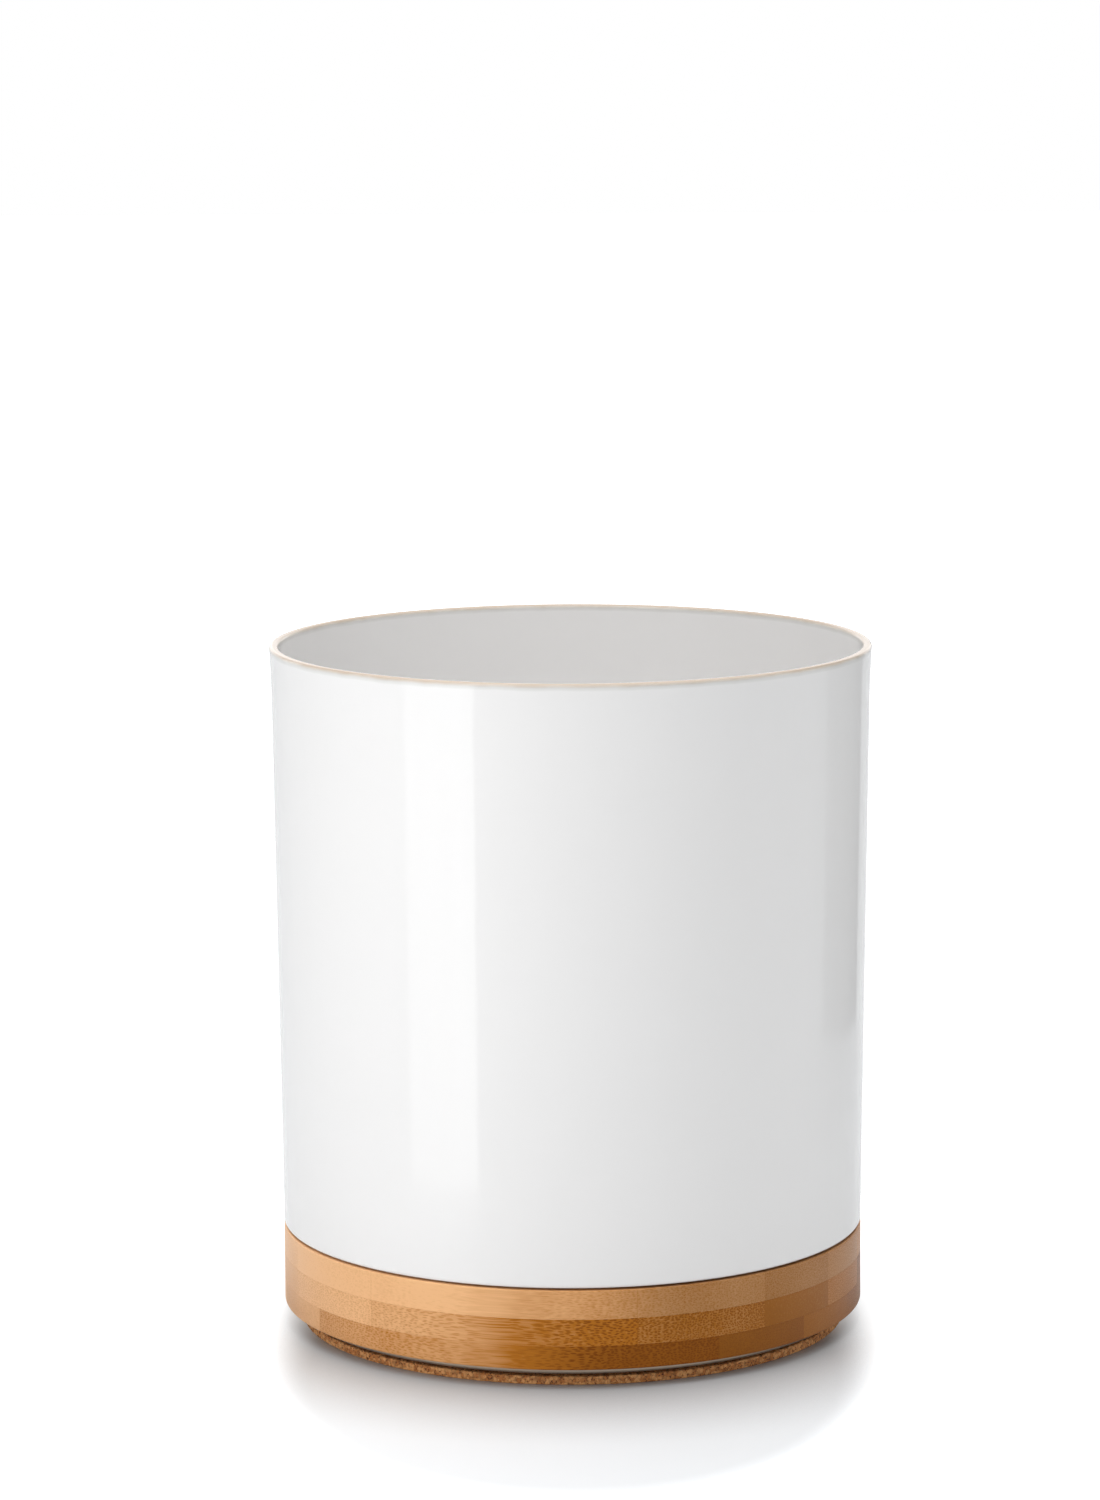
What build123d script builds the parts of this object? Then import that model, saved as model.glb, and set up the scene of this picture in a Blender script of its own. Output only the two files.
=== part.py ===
from build123d import *

import os
from math import radians, tan

# A glazed ceramic crock for kitchen utensils. It stands in a round bamboo base that
# turns on a ball bearing above a cork foot. Lengths are millimetres, Z is up, and the
# origin is the middle of the cork's underside, on the table.

os.makedirs("parts", exist_ok=True)

# Shared allowances
cut_overrun = 1.0
running_clearance = 0.02
shaft_clearance = 0.05

# Crock
crock_base_radius = 77.5
crock_height_above_shoulder = 155.6
crock_taper = 1.8
rim_flare = 0.5
rim_flare_height = 10.0
wall_thickness = 4.2
lip_thickness = 2.5
lip_round_share = 0.45
floor_thickness = 6.5
inner_corner_radius = 9.0
shoulder_round = 0.6
shoulder_root_round = 0.6
foot_ring_width = 7.0
foot_ring_recess = 1.2
foot_ring_round = 0.5

# Bamboo base
bottom_ply_thickness = 6.3
middle_ply_thickness = 7.0
top_ply_thickness = 7.6
ply_edge_round = 0.4
spigot_inset = 6.8
spigot_clearance = 0.6
shoulder_gap = 0.4

# Cork foot
cork_inset = 4.6
cork_thickness = 2.2
cork_edge_round = 0.3

# Bearing plates
upper_plate_inset = 3.3
upper_plate_gauge = 2.0
lower_plate_inset = 4.7
lower_plate_gauge = 0.7
plate_gap = 0.3
trough_half_width = 5.0
trough_inner_bend_share = 0.12
trough_outer_bend_share = 0.75
lower_race_depth = 0.3
upper_race_depth = 0.4
trough_clearance = 0.4

# Balls and their cage
ball_radius = 2.0
ball_count = 30
cage_thickness = 0.6
cage_edge_clearance = 0.8
cage_hole_clearance = 0.1

# Countersunk wood screws
screw_count = 6
screw_head_angle = 90
half_turn = 180
screw_shank_radius = 1.5
screw_head_radius = 2.75
screw_head_recess = 0.05
screw_bite_share = 0.72
screw_point_length = 1.6
screw_slot_length_share = 0.6
screw_slot_width = 0.7
screw_slot_depth = 0.8
screw_land = 1.25
access_hole_clearance = 1.05
access_hole_land = 1.2

# Pivot rivet and its washers
rivet_shank_radius = 4.0
rivet_flange_radius = 6.5
rivet_flange_thickness = 0.9
rivet_head_radius = 8.5
rivet_head_thickness = 1.2
rivet_head_round_share = 0.5
rivet_pocket_clearance = 0.4
spacer_washer_radius = 10.0
thrust_washer_radius = 10.5
thrust_washer_thickness = 0.5

# Heights of the stack, from the table up
lower_plate_base = cork_thickness
lower_plate_top = lower_plate_base + lower_plate_gauge
upper_plate_base = lower_plate_top + plate_gap
bamboo_base = upper_plate_base + upper_plate_gauge
middle_ply_base = bamboo_base + bottom_ply_thickness
top_ply_base = middle_ply_base + middle_ply_thickness
bamboo_top = top_ply_base + top_ply_thickness
shoulder_height = bamboo_top + shoulder_gap
rim_height = shoulder_height + crock_height_above_shoulder

# Radii, from the crock's lip inwards
crock_neck_radius = crock_base_radius + crock_taper
crock_rim_radius = crock_neck_radius + rim_flare
bamboo_radius = crock_base_radius
spigot_radius = bamboo_radius - spigot_inset
recess_radius = spigot_radius + spigot_clearance
cork_radius = bamboo_radius - cork_inset
upper_plate_radius = bamboo_radius - upper_plate_inset
lower_plate_radius = cork_radius - lower_plate_inset
access_hole_radius = screw_head_radius + access_hole_clearance
screw_circle_radius = lower_plate_radius - access_hole_land - access_hole_radius
trough_outer_half_width = trough_half_width + upper_plate_gauge
ball_circle_radius = screw_circle_radius - screw_head_radius - screw_land - trough_outer_half_width

# Ball race
race_radius = ball_radius + running_clearance
ball_height = lower_plate_top - lower_race_depth + race_radius
trough_roof = ball_height + race_radius - upper_race_depth
trough_top = trough_roof + upper_plate_gauge
trough_inner_bend = (trough_roof - upper_plate_base) * trough_inner_bend_share
trough_outer_bend = (trough_roof - upper_plate_base) * trough_outer_bend_share
trough_inner_edge = ball_circle_radius - trough_half_width
trough_outer_edge = ball_circle_radius + trough_half_width

# Pivot heights
rivet_head_base = bamboo_base + thrust_washer_thickness + shaft_clearance
rivet_head_top = rivet_head_base + rivet_head_thickness
pivot_hole_radius = rivet_shank_radius + shaft_clearance
flange_pocket_radius = rivet_flange_radius + rivet_pocket_clearance
head_pocket_radius = thrust_washer_radius + rivet_pocket_clearance
head_pocket_depth = rivet_head_top - bamboo_base + rivet_pocket_clearance

# Screw heights
screw_head_height = (screw_head_radius - screw_shank_radius) / tan(radians(screw_head_angle / 2))
screw_base = upper_plate_base + screw_head_recess
screw_tip = bamboo_base + bottom_ply_thickness * screw_bite_share
screw_point_base = screw_tip - screw_point_length
screw_slot_length = 2 * screw_head_radius * screw_slot_length_share
screw_places = [
    spot * Location((0, 0, screw_base), (half_turn, 0, 0))
    for spot in PolarLocations(screw_circle_radius, screw_count)
]


# Crock: foot ring, spigot, shoulder, wall with a slightly flared lip, and the inside
crock_floor = top_ply_base + floor_thickness + foot_ring_recess
foot_ring_inner = spigot_radius - foot_ring_width
lip_round = lip_thickness * lip_round_share
with BuildPart() as crock:
    with BuildSketch(Plane.XZ):
        with BuildLine():
            FilletPolyline(
                (0, top_ply_base + foot_ring_recess),
                (foot_ring_inner, top_ply_base + foot_ring_recess),
                (foot_ring_inner, top_ply_base),
                (spigot_radius, top_ply_base),
                (spigot_radius, shoulder_height),
                (crock_base_radius, shoulder_height),
                (crock_neck_radius, rim_height - rim_flare_height),
                (crock_rim_radius, rim_height),
                (crock_rim_radius - lip_thickness, rim_height),
                (crock_base_radius - wall_thickness, crock_floor),
                (0, crock_floor),
                radius=[
                    0,
                    foot_ring_round,
                    foot_ring_round,
                    foot_ring_round,
                    shoulder_root_round,
                    shoulder_round,
                    0,
                    lip_round,
                    lip_round,
                    inner_corner_radius,
                    0,
                ],
                close=True,
            )
        make_face()
    revolve(axis=Axis.Z)
crock.part.label = "crock"
export_step(crock.part, "parts/crock.step")


# Bamboo base, top ply: a ring that holds the crock's spigot
with BuildPart() as bamboo_ply_top:
    with BuildSketch(Plane.XY.offset(top_ply_base)):
        Circle(bamboo_radius)
        Circle(recess_radius, mode=Mode.SUBTRACT)
    extrude(amount=top_ply_thickness)
    top_face_rims = bamboo_ply_top.faces().sort_by(Axis.Z)[-1].edges()
    fillet(top_face_rims, radius=ply_edge_round)
bamboo_ply_top.part.label = "bamboo_ply_top"
export_step(bamboo_ply_top.part, "parts/bamboo_ply_top.step")


# Bamboo base, middle ply: the solid disc that the crock stands on
with BuildPart() as bamboo_ply_middle:
    with BuildSketch(Plane.XY.offset(middle_ply_base)):
        Circle(bamboo_radius)
    extrude(amount=middle_ply_thickness)
bamboo_ply_middle.part.label = "bamboo_ply_middle"
export_step(bamboo_ply_middle.part, "parts/bamboo_ply_middle.step")


# Bamboo base, bottom ply: routed for the bearing's trough and rivet head
groove_half_width = trough_outer_half_width + trough_clearance
groove_depth = trough_top - bamboo_base + trough_clearance
with BuildPart() as bamboo_ply_bottom:
    with BuildSketch(Plane.XY.offset(bamboo_base)):
        Circle(bamboo_radius)
    extrude(amount=bottom_ply_thickness)
    underside_rim = bamboo_ply_bottom.faces().sort_by(Axis.Z)[0].edges()
    fillet(underside_rim, radius=ply_edge_round)
    with BuildSketch(Plane.XY.offset(bamboo_base)):
        Circle(ball_circle_radius + groove_half_width)
        Circle(ball_circle_radius - groove_half_width, mode=Mode.SUBTRACT)
    extrude(amount=groove_depth, mode=Mode.SUBTRACT)
    with BuildSketch(Plane.XY.offset(bamboo_base)):
        Circle(head_pocket_radius)
    extrude(amount=head_pocket_depth, mode=Mode.SUBTRACT)
    with BuildSketch(Plane.XY.offset(bamboo_base)):
        with PolarLocations(screw_circle_radius, screw_count):
            Circle(screw_shank_radius)
    extrude(amount=screw_tip - bamboo_base, mode=Mode.SUBTRACT)
bamboo_ply_bottom.part.label = "bamboo_ply_bottom"
export_step(bamboo_ply_bottom.part, "parts/bamboo_ply_bottom.step")


# Upper bearing plate: a flat disc with a pressed trough over the balls
with BuildPart() as upper_bearing_plate:
    with BuildSketch(Plane.XZ):
        with BuildLine():
            FilletPolyline(
                (pivot_hole_radius, upper_plate_base),
                (trough_inner_edge, upper_plate_base),
                (trough_inner_edge, trough_roof),
                (trough_outer_edge, trough_roof),
                (trough_outer_edge, upper_plate_base),
                (upper_plate_radius, upper_plate_base),
                (upper_plate_radius, bamboo_base),
                (trough_outer_edge + upper_plate_gauge, bamboo_base),
                (trough_outer_edge + upper_plate_gauge, trough_top),
                (trough_inner_edge - upper_plate_gauge, trough_top),
                (trough_inner_edge - upper_plate_gauge, bamboo_base),
                (pivot_hole_radius, bamboo_base),
                radius=[
                    0,
                    trough_outer_bend,
                    trough_inner_bend,
                    trough_inner_bend,
                    trough_outer_bend,
                    0,
                    0,
                    trough_inner_bend,
                    trough_outer_bend,
                    trough_outer_bend,
                    trough_inner_bend,
                    0,
                ],
                close=True,
            )
        make_face()
        with Locations((ball_circle_radius, ball_height)):
            Circle(race_radius, mode=Mode.SUBTRACT)
    revolve(axis=Axis.Z)
    with Locations(*screw_places):
        CounterSinkHole(
            radius=screw_shank_radius,
            counter_sink_radius=screw_head_radius,
            depth=upper_plate_gauge + cut_overrun,
            counter_sink_angle=screw_head_angle,
        )
upper_bearing_plate.part.label = "upper_bearing_plate"
export_step(upper_bearing_plate.part, "parts/upper_bearing_plate.step")


# Lower bearing plate: a thin disc with a shallow race and a hole for the screwdriver
with BuildPart() as lower_bearing_plate:
    with BuildSketch(Plane.XZ):
        with BuildLine():
            Polyline(
                (rivet_shank_radius, lower_plate_base),
                (lower_plate_radius, lower_plate_base),
                (lower_plate_radius, lower_plate_top),
                (rivet_shank_radius, lower_plate_top),
                close=True,
            )
        make_face()
        with Locations((ball_circle_radius, ball_height)):
            Circle(race_radius, mode=Mode.SUBTRACT)
    revolve(axis=Axis.Z)
    with BuildSketch(Plane.XY.offset(lower_plate_base)):
        with Locations((0, screw_circle_radius)):
            Circle(access_hole_radius)
    extrude(amount=lower_plate_gauge, mode=Mode.SUBTRACT)
lower_bearing_plate.part.label = "lower_bearing_plate"
export_step(lower_bearing_plate.part, "parts/lower_bearing_plate.step")


# Cork foot: a disc relieved over the rivet's flange
with BuildPart() as cork_pad:
    with BuildSketch():
        Circle(cork_radius)
    extrude(amount=cork_thickness)
    cork_rims = cork_pad.edges()
    fillet(cork_rims.filter_by(GeomType.CIRCLE), radius=cork_edge_round)
    with BuildSketch(Plane.XY.offset(cork_thickness)):
        Circle(flange_pocket_radius)
    extrude(amount=-rivet_flange_thickness, mode=Mode.SUBTRACT)
cork_pad.part.label = "cork_pad"
export_step(cork_pad.part, "parts/cork_pad.step")


# Pivot rivet: flange below the lower plate, shank through both, head in the ply's pocket
rivet_head_round = rivet_head_thickness * rivet_head_round_share
with BuildPart() as pivot_rivet:
    with BuildSketch(Plane.XZ):
        with BuildLine():
            FilletPolyline(
                (0, lower_plate_base - rivet_flange_thickness),
                (rivet_flange_radius, lower_plate_base - rivet_flange_thickness),
                (rivet_flange_radius, lower_plate_base),
                (rivet_shank_radius, lower_plate_base),
                (rivet_shank_radius, rivet_head_base),
                (rivet_head_radius, rivet_head_base),
                (rivet_head_radius, rivet_head_top),
                (0, rivet_head_top),
                radius=[0, 0, 0, 0, 0, 0, rivet_head_round, 0],
                close=True,
            )
        make_face()
    revolve(axis=Axis.Z)
pivot_rivet.part.label = "pivot_rivet"
export_step(pivot_rivet.part, "parts/pivot_rivet.step")


# Spacer washer between the plates
with BuildPart() as spacer_washer:
    with BuildSketch(Plane.XY.offset(lower_plate_top)):
        Circle(spacer_washer_radius)
        Circle(pivot_hole_radius, mode=Mode.SUBTRACT)
    extrude(amount=plate_gap - shaft_clearance)
spacer_washer.part.label = "spacer_washer"
export_step(spacer_washer.part, "parts/spacer_washer.step")


# Thrust washer between the upper plate and the rivet's head
with BuildPart() as thrust_washer:
    with BuildSketch(Plane.XY.offset(bamboo_base)):
        Circle(thrust_washer_radius)
        Circle(pivot_hole_radius, mode=Mode.SUBTRACT)
    extrude(amount=thrust_washer_thickness)
thrust_washer.part.label = "thrust_washer"
export_step(thrust_washer.part, "parts/thrust_washer.step")


# Ball cage: a flat ring round the balls at the height of their centres
cage_half_width = trough_half_width - cage_edge_clearance
with BuildPart() as ball_cage:
    with BuildSketch(Plane.XY.offset(ball_height - cage_thickness / 2)):
        Circle(ball_circle_radius + cage_half_width)
        Circle(ball_circle_radius - cage_half_width, mode=Mode.SUBTRACT)
        with PolarLocations(ball_circle_radius, ball_count):
            Circle(ball_radius + cage_hole_clearance, mode=Mode.SUBTRACT)
    extrude(amount=cage_thickness)
ball_cage.part.label = "ball_cage"
export_step(ball_cage.part, "parts/ball_cage.step")


# Bearing balls
with BuildPart(Plane.XY.offset(ball_height)) as bearing_balls:
    with PolarLocations(ball_circle_radius, ball_count):
        Sphere(ball_radius)
bearing_balls.part.label = "bearing_balls"
export_step(bearing_balls.part, "parts/bearing_balls.step")


# Plate screws: countersunk wood screws with a cross slot, driven up from below
with BuildPart() as plate_screw:
    with BuildSketch(Plane.XZ):
        with BuildLine():
            Polyline(
                (0, screw_base),
                (screw_head_radius, screw_base),
                (screw_shank_radius, screw_base + screw_head_height),
                (screw_shank_radius, screw_point_base),
                (0, screw_tip),
                close=True,
            )
        make_face()
    revolve(axis=Axis.Z)
    with BuildSketch(Plane.XY.offset(screw_base)):
        Rectangle(screw_slot_length, screw_slot_width)
        Rectangle(screw_slot_width, screw_slot_length)
    extrude(amount=screw_slot_depth, mode=Mode.SUBTRACT)
with BuildPart() as plate_screws:
    with PolarLocations(screw_circle_radius, screw_count):
        add(plate_screw.part)
plate_screws.part.label = "plate_screws"
export_step(plate_screws.part, "parts/plate_screws.step")
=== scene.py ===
"""The looks of a utensil crock on a turning bamboo base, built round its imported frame.

Lengths are metres and Z is up. The origin is the middle of the cork's underside.
"""

import logging
import math
from dataclasses import dataclass
from enum import Enum

import bpy
from mathutils import Matrix, Vector


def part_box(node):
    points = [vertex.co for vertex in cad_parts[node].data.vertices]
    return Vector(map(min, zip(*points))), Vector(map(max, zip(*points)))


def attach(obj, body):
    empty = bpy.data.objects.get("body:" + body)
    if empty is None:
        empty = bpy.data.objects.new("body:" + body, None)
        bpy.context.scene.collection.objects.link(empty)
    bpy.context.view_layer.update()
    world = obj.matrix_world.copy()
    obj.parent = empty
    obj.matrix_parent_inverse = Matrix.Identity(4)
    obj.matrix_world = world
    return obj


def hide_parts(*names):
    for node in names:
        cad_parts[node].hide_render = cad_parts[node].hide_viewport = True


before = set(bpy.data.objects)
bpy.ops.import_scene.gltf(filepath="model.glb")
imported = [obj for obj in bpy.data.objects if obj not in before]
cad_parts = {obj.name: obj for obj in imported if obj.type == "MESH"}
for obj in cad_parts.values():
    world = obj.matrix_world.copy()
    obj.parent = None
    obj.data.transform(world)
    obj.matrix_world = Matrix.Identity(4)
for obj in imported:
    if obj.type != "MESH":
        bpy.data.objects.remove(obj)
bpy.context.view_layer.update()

LOG = logging.getLogger("utensil_crock")
MM = 0.001
WHITE = (1.0, 1.0, 1.0)
BLACK = (0.0, 0.0, 0.0)
NOISE_MEAN = 0.5

Colour = tuple[float, float, float]
Pair = tuple[float, float]
Socket = bpy.types.NodeSocket
Material = bpy.types.Material
Piece = bpy.types.Object


class Slot(Enum):
    """The record's material slots."""

    GLAZE = "glazed_ceramic"
    BAMBOO = "bamboo"
    PLATE = "plate_aluminium"
    CORK = "cork"
    FASTENER = "fastener_steel"
    BALL = "ball_steel"
    NYLON = "nylon"


class Body(Enum):
    """The bodies that move against each other."""

    FOOT = "foot"
    BALL_RING = "ball_ring"
    TURNTABLE = "turntable"
    CROCK = "crock"


@dataclass(frozen=True)
class Span:
    """A round CAD node's outer radius and its lowest and highest level."""

    radius: float
    low: float
    high: float

    @classmethod
    def of(cls, node: str) -> "Span":
        """Measure a node of the frame."""
        low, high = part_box(node)
        return cls(high.x, low.z, high.z)

    @property
    def ball(self) -> float:
        """The radius of a ball that fills the span's height."""
        return (self.high - self.low) / 2

    @property
    def circle(self) -> float:
        """The radius of the circle that such balls stand on."""
        return self.radius - self.ball


def put(name: str, data: bpy.types.ID) -> Piece:
    """Put a new object in the scene.

    Args:
        name: the object's name.
        data: its mesh, lamp or camera.

    Returns:
        The new object.
    """
    made = bpy.data.objects.new(name, data)
    bpy.context.scene.collection.objects.link(made)
    return made


def settle(piece: Piece, body: Body, node: str) -> None:
    """Put a finished piece on its body, hide the node that it replaces, and report it.

    Args:
        piece: the piece.
        body: the body that it rides on.
        node: the CAD node that it replaces.
    """
    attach(piece, body.value)
    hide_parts(node)
    LOG.info("%s: %d faces on %s", piece.name, len(piece.data.polygons), body.value)


def keep(node: str, material: Material) -> None:
    """Give a CAD node its finish and report it.

    Args:
        node: the node's name.
        material: the finish.
    """
    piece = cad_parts[node]
    piece.data.materials.clear()
    piece.data.materials.append(material)
    LOG.info("%s: the frame's own mesh in %s", node, material.name)


def opaque(colour: Colour) -> tuple[float, float, float, float]:
    """A colour with full alpha."""
    return (*colour, 1.0)


def dimmed(colour: Colour, share: float) -> Colour:
    """A share of a colour's light."""
    return tuple(c * share for c in colour)


class NodeBoard:
    """A node tree with short ways to add, set and join its nodes."""

    def __init__(self, tree: bpy.types.NodeTree) -> None:
        """Keep the shader or geometry tree that nodes are added to."""
        self.tree = tree

    def feed(self, socket: Socket, value: object) -> None:
        """Join a socket to another, or set its own value.

        Args:
            socket: the input to feed.
            value: an output socket, or a plain value.
        """
        if isinstance(value, Socket):
            self.tree.links.new(value, socket)
        else:
            socket.default_value = value

    def add(self, kind: str, inputs: dict | None = None, **settings: object) -> bpy.types.Node:
        """Add a node.

        Args:
            kind: the node's type name.
            inputs: values or sockets by input name or index.
            settings: the node's own options.

        Returns:
            The new node.
        """
        node = self.tree.nodes.new(kind)
        for name, value in settings.items():
            setattr(node, name, value)
        for key, value in (inputs or {}).items():
            self.feed(node.inputs[key], value)
        return node

    def get(self, kind: str, inputs: dict | None = None, output: int | str = 0, **settings: object) -> Socket:
        """One output of a new node, by its name or index."""
        return self.add(kind, inputs, **settings).outputs[output]

    def math(self, operation: str, *values: object) -> Socket:
        """One sum of sockets or numbers, by the Math node's word for it."""
        return self.get("ShaderNodeMath", dict(enumerate(values)), operation=operation)

    def times(self, first: object, second: object) -> Socket:
        """One value times another."""
        return self.math("MULTIPLY", first, second)

    def over(self, first: object, second: object) -> Socket:
        """One value divided by another."""
        return self.math("DIVIDE", first, second)

    def minus(self, first: object, second: object) -> Socket:
        """One value less another."""
        return self.math("SUBTRACT", first, second)

    def times_plus(self, value: object, factor: object, more: object) -> Socket:
        """A value times a factor, plus more."""
        return self.math("MULTIPLY_ADD", value, factor, more)

    def between(self, mask: Socket, low: float, high: float) -> Socket:
        """Low where a mask is 0, and high where it is 1."""
        return self.times_plus(mask, high - low, low)

    def step(self, value: Socket, low: object, high: object) -> Socket:
        """A smooth step that is 0 at low and 1 at high, which may be below low."""
        inputs = {"Value": value, "From Min": low, "From Max": high}
        return self.get("ShaderNodeMapRange", inputs, interpolation_type="SMOOTHSTEP")

    def vector(self, x: object, y: object, z: object) -> Socket:
        """Three numbers or sockets as one vector."""
        return self.get("ShaderNodeCombineXYZ", {0: x, 1: y, 2: z})

    def split(self, vector: Socket) -> list[Socket]:
        """The three parts of a vector."""
        return list(self.add("ShaderNodeSeparateXYZ", {0: vector}).outputs)

    def vector_math(self, operation: str, inputs: dict, output: int | str = 0) -> Socket:
        """One sum of vectors, by the Vector Math node's word for it."""
        return self.get("ShaderNodeVectorMath", inputs, output, operation=operation)

    def blend(self, share: object, first: object, second: object) -> Socket:
        """The first colour or socket, with a share of the second."""
        first, second = (opaque(c) if isinstance(c, tuple) else c for c in (first, second))
        return self.get("ShaderNodeMix", {0: share, 6: first, 7: second}, 2, data_type="RGBA")

    def ramp(self, factor: Socket, stops: dict[float, Colour], between: str = "LINEAR") -> Socket:
        """Pick a colour from stops.

        Args:
            factor: where to pick, from 0 to 1.
            stops: a colour for each place, the first of them at 0.
            between: how it goes from one stop to the next.

        Returns:
            The colour's socket.
        """
        node = self.add("ShaderNodeValToRGB", {0: factor})
        node.color_ramp.interpolation = between
        found = node.color_ramp.elements
        found.remove(found[1])
        for place, colour in stops.items():
            stop = found.new(place) if place else found[0]
            stop.color = opaque(colour)
        return node.outputs[0]


class MaterialBoard(NodeBoard):
    """The node tree of one new material, with its object coordinates ready."""

    def __init__(self, name: str) -> None:
        """Make the material.

        Args:
            name: the material's name.
        """
        self.material = bpy.data.materials.new(name)
        self.material.use_nodes = True
        super().__init__(self.material.node_tree)
        self.place = self.get("ShaderNodeTexCoord", output="Object")

    def shade(self, **values: object) -> Material:
        """Set or join the shader's inputs.

        Args:
            values: constants or sockets by input name, with underscores for spaces.

        Returns:
            The material.
        """
        shader = self.tree.nodes["Principled BSDF"]
        for name, value in values.items():
            self.feed(shader.inputs[name.replace("_", " ")], value)
        return self.material

    def noise(self, vector: Socket, scale: float, detail: float = 2.0) -> Socket:
        """Noise about its mean, by its cycles for each unit of the vector and its octaves."""
        return self.get("ShaderNodeTexNoise", {"Vector": vector, "Scale": scale, "Detail": detail}, "Fac")

    def radius(self) -> Socket:
        """The distance from the upright axis."""
        x, y, _ = self.split(self.place)
        return self.math("SQRT", self.math("ADD", self.times(x, x), self.times(y, y)))

    def bump(self, height: Socket, depth: float, strength: float) -> Socket:
        """A normal from a height of 0 to 1, the depth that 1 stands for, and the share that shows."""
        return self.get("ShaderNodeBump", {"Height": height, "Distance": depth, "Strength": strength})


@dataclass(frozen=True)
class Glaze:
    """White gloss glaze that thins to a warm line at the lip and stops above the foot.

    A scale is a noise's cycles for each metre. Clouds and peel are a scale and its octaves,
    and relief is a depth and the share of it that shows.
    """

    white: Colour = (0.87, 0.86, 0.852)
    veil: Colour = (0.73, 0.725, 0.70)
    thin: Colour = (0.56, 0.45, 0.355)
    bisque: Colour = (0.74, 0.66, 0.55)
    clouds: Pair = (45.0, 3.0)
    cloud_shade: float = 0.985
    lip_depth: float = 1.7 * MM
    lip_wander: float = 0.5 * MM
    lip_scale: float = 160.0
    lip_blend: float = 0.2
    veil_share: float = 0.55
    bare_height: float = 2.4 * MM
    bare_edge: float = 0.2 * MM
    bare_wander: float = 0.7 * MM
    bare_scale: float = 90.0
    speck_scale: float = 1500.0
    speck_range: Pair = (0.62, 0.75)
    speck_shade: float = 0.8
    peel: Pair = (260.0, 1.0)
    relief: Pair = (0.02 * MM, 0.25)
    gloss_roughness: float = 0.07
    bare_roughness: float = 0.75
    refraction: float = 1.52

    def material(self, rim: float, seat: float) -> Material:
        """Build the glaze.

        Args:
            rim: the lip's height.
            seat: the foot ring's height.

        Returns:
            The finished material.
        """
        board = MaterialBoard("crock_glaze")
        place = board.place
        height = board.split(place)[2]
        cloud = board.noise(place, *self.clouds)
        white = board.blend(cloud, self.white, dimmed(self.white, self.cloud_shade))
        wander = board.times_plus(board.noise(place, self.lip_scale), self.lip_wander, height)
        lip = board.over(board.minus(wander, rim - self.lip_depth), self.lip_depth)
        band = board.ramp(lip, {0.0: self.white, self.veil_share: self.veil, 1.0: self.thin})
        white = board.blend(board.step(lip, 0.0, self.lip_blend), white, band)
        edge = board.times_plus(board.noise(place, self.bare_scale), self.bare_wander, height)
        glazed_from = seat + self.bare_height
        bare = board.step(edge, glazed_from, glazed_from - self.bare_edge)
        speck = board.step(board.noise(place, self.speck_scale), *self.speck_range)
        clay = board.blend(speck, self.bisque, dimmed(self.bisque, self.speck_shade))
        return board.shade(
            Base_Color=board.blend(bare, white, clay),
            Roughness=board.between(bare, self.gloss_roughness, self.bare_roughness),
            Normal=board.bump(board.noise(place, *self.peel), *self.relief),
            IOR=self.refraction,
        )


@dataclass(frozen=True)
class PlyLook:
    """How one ply's strips are laid and toned, as they show at the front.

    Strips are each strip's tone, fibre crowding and share of painted shade at one end of the grain, from the
    front to the back.
    Lean is how far the tone runs from a painted highlight to painted shade along the grain, across the
    painted shade span.
    """

    strip_start: float
    contrast: float
    lean: float
    painted_shade_span: Pair
    strips: tuple[Colour, ...]


@dataclass(frozen=True)
class GrainPlace:
    """A place in the wood: along the grain, across the strips, up, and the strip's own shift."""

    along: Socket
    across: Socket
    up: Socket
    shift: Socket


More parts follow.
